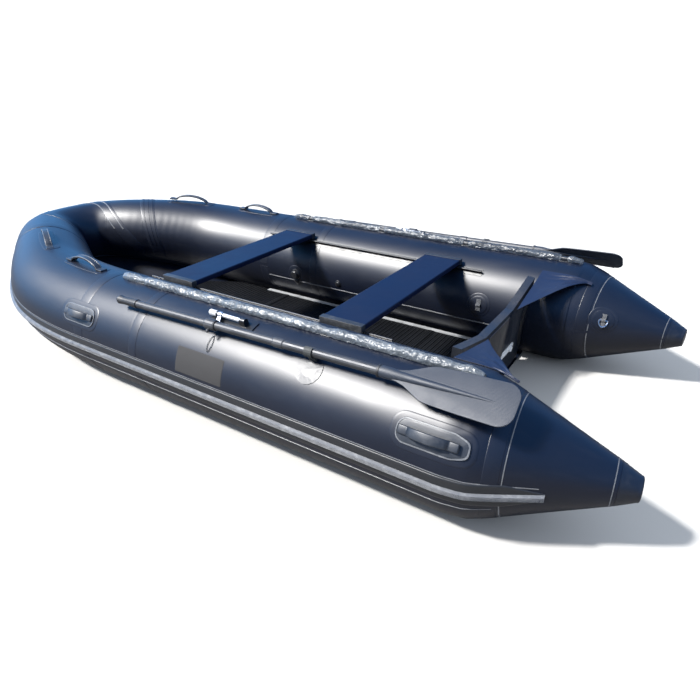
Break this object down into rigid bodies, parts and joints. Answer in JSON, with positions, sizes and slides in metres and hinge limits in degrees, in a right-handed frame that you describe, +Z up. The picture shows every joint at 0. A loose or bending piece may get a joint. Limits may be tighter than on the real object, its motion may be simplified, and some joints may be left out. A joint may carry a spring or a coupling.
{
  "type": "inflatable boat",
  "caption": "Inflatable boat with tapered stern cones, slatted metal floor, wooden transom, sliding benches and oars in pivoting rowlocks.",
  "frame": {"origin": "middle of the length and the beam, on the ground under the side tubes", "axes": "+X to the bow, +Y to port, +Z up"},
  "size_m": [3.9639, 1.843, 0.5884],
  "materials": {
    "fabric": "satin coated fabric",
    "cap_rubber": "satin",
    "strake": "satin",
    "board": "ribbed, dark",
    "stringer": "satin",
    "transom": "painted plywood",
    "plate": "matte",
    "bench": "painted, satin",
    "rubber": "satin",
    "rope": "matt",
    "oar_shaft": "dark, satin",
    "blade": "grained",
    "grip": "matt",
    "steel": "bright",
    "valve": "matt",
    "valve_red": "gloss"
  },
  "bodies": {
    "hull": {"bottom_skin": "fabric", "bow_handle_port_aft": "rubber", "bow_handle_port_fore": "rubber", "bow_handle_starboard_aft": "rubber", "bow_handle_starboard_fore": "rubber", "chamber_bow": "fabric", "chamber_port": "fabric", "chamber_starboard": "fabric", "cone_cap_port": "cap_rubber", "cone_cap_starboard": "cap_rubber", "drain_socket": "plate", "floor_board_1": "board", "floor_board_2": "board", "floor_board_3": "board", "floor_board_bow": "board", "grab_line_port": "rope", "grab_line_starboard": "rope", "gusset_port": "fabric", "gusset_starboard": "fabric", "keel_tube": "fabric", "motor_plate_inner": "plate", "motor_plate_outer": "plate", "oar_clip_port": "rubber", "oar_clip_starboard": "rubber", "rowlock_base_port": "rubber", "rowlock_base_starboard": "rubber", "rowlock_pin_port": "steel", "rowlock_pin_starboard": "steel", "rubbing_strake": "strake", "seat_track_port": "rubber", "seat_track_starboard": "rubber", "side_handle_port_aft": "rubber", "side_handle_port_fore": "rubber", "side_handle_starboard_aft": "rubber", "side_handle_starboard_fore": "rubber", "stringer_port": "stringer", "stringer_starboard": "stringer", "transom_board": "transom", "transom_holder_port": "rubber", "transom_holder_starboard": "rubber"},
    "front_bench": {"bench_front": "bench"},
    "rear_bench": {"bench_rear": "bench"},
    "port_rocker": {"oar_port_rocker": "steel"},
    "starboard_rocker": {"oar_starboard_rocker": "steel"},
    "port_oar": {"oar_port_shaft": "oar_shaft", "oar_port_grip": "grip", "oar_port_blade": "blade", "oar_port_collar": "oar_shaft"},
    "starboard_oar": {"oar_starboard_shaft": "oar_shaft", "oar_starboard_grip": "grip", "oar_starboard_blade": "blade", "oar_starboard_collar": "oar_shaft"},
    "valve_cap_port": {"valve_cap_port": "valve"},
    "valve_cap_starboard": {"valve_cap_starboard": "valve"},
    "valve_cap_bow": {"valve_cap_bow": "valve_red"},
    "drain_plug": {"drain_plug": "plate"},
    "bow_ring": {"bow_ring": "steel"},
    "stern_ring_port": {"stern_ring_port": "steel"},
    "stern_ring_starboard": {"stern_ring_starboard": "steel"}
  },
  "joints": [
    {"name": "front_bench_slide", "type": "slide", "parent": "hull", "child": "front_bench", "axis": [1, 0, 0], "range_m": [-0.25, 0.12]},
    {"name": "rear_bench_slide", "type": "slide", "parent": "hull", "child": "rear_bench", "axis": [1, 0, 0], "range_m": [-0.1, 0.4]},
    {"name": "port_oar_tilt", "type": "hinge", "parent": "hull", "child": "port_rocker", "pos_m": [-0.43257, 0.74102, 0.51694], "axis": [1, 0, 0], "range_deg": [0, 24], "deforming": ["oar_clip_port"]},
    {"name": "port_oar_swing", "type": "hinge", "parent": "port_rocker", "child": "port_oar", "pos_m": [-0.43257, 0.81378, 0.50809], "axis": [0, -0.5417, -0.8406], "range_deg": [0, 130], "deforming": ["oar_clip_port"]},
    {"name": "starboard_oar_tilt", "type": "hinge", "parent": "hull", "child": "starboard_rocker", "pos_m": [-0.43257, -0.79341, 0.49251], "axis": [-1, 0, 0], "range_deg": [0, 24], "deforming": ["oar_clip_starboard"]},
    {"name": "starboard_oar_swing", "type": "hinge", "parent": "starboard_rocker", "child": "starboard_oar", "pos_m": [-0.43257, -0.86274, 0.46873], "axis": [0, -0.7046, 0.7096], "range_deg": [0, 130], "deforming": ["oar_clip_starboard"]},
    {"name": "port_valve_cap_turn", "type": "hinge", "parent": "hull", "child": "valve_cap_port", "pos_m": [0.13011, 0.39612, 0.23768], "axis": [0, -0.9976, -0.0698], "range_deg": [0, 90]},
    {"name": "starboard_valve_cap_turn", "type": "hinge", "parent": "hull", "child": "valve_cap_starboard", "pos_m": [0.13011, -0.39612, 0.23768], "axis": [0, 0.9976, -0.0698], "range_deg": [0, 90]},
    {"name": "bow_valve_cap_turn", "type": "hinge", "parent": "hull", "child": "valve_cap_bow", "pos_m": [0.62764, -0.39138, 0.25893], "axis": [-0.0531, 0.9986, 0], "range_deg": [0, 90]},
    {"name": "drain_plug_slide", "type": "slide", "parent": "hull", "child": "drain_plug", "axis": [-0.9962, 0, -0.0872], "range_m": [0, 0.045]},
    {"name": "bow_ring_swing", "type": "hinge", "parent": "hull", "child": "bow_ring", "pos_m": [1.91116, 0, 0.20941], "axis": [0, -1, 0], "range_deg": [-38, 100]},
    {"name": "stern_ring_port_swing", "type": "hinge", "parent": "hull", "child": "stern_ring_port", "pos_m": [-1.64394, 0.45683, 0.3208], "axis": [-0.9486, 0.285, -0.1377], "range_deg": [0, 150]},
    {"name": "stern_ring_starboard_swing", "type": "hinge", "parent": "hull", "child": "stern_ring_starboard", "pos_m": [-1.64394, -0.45683, 0.3208], "axis": [0.9486, 0.285, 0.1377], "range_deg": [0, 150]}
  ]
}
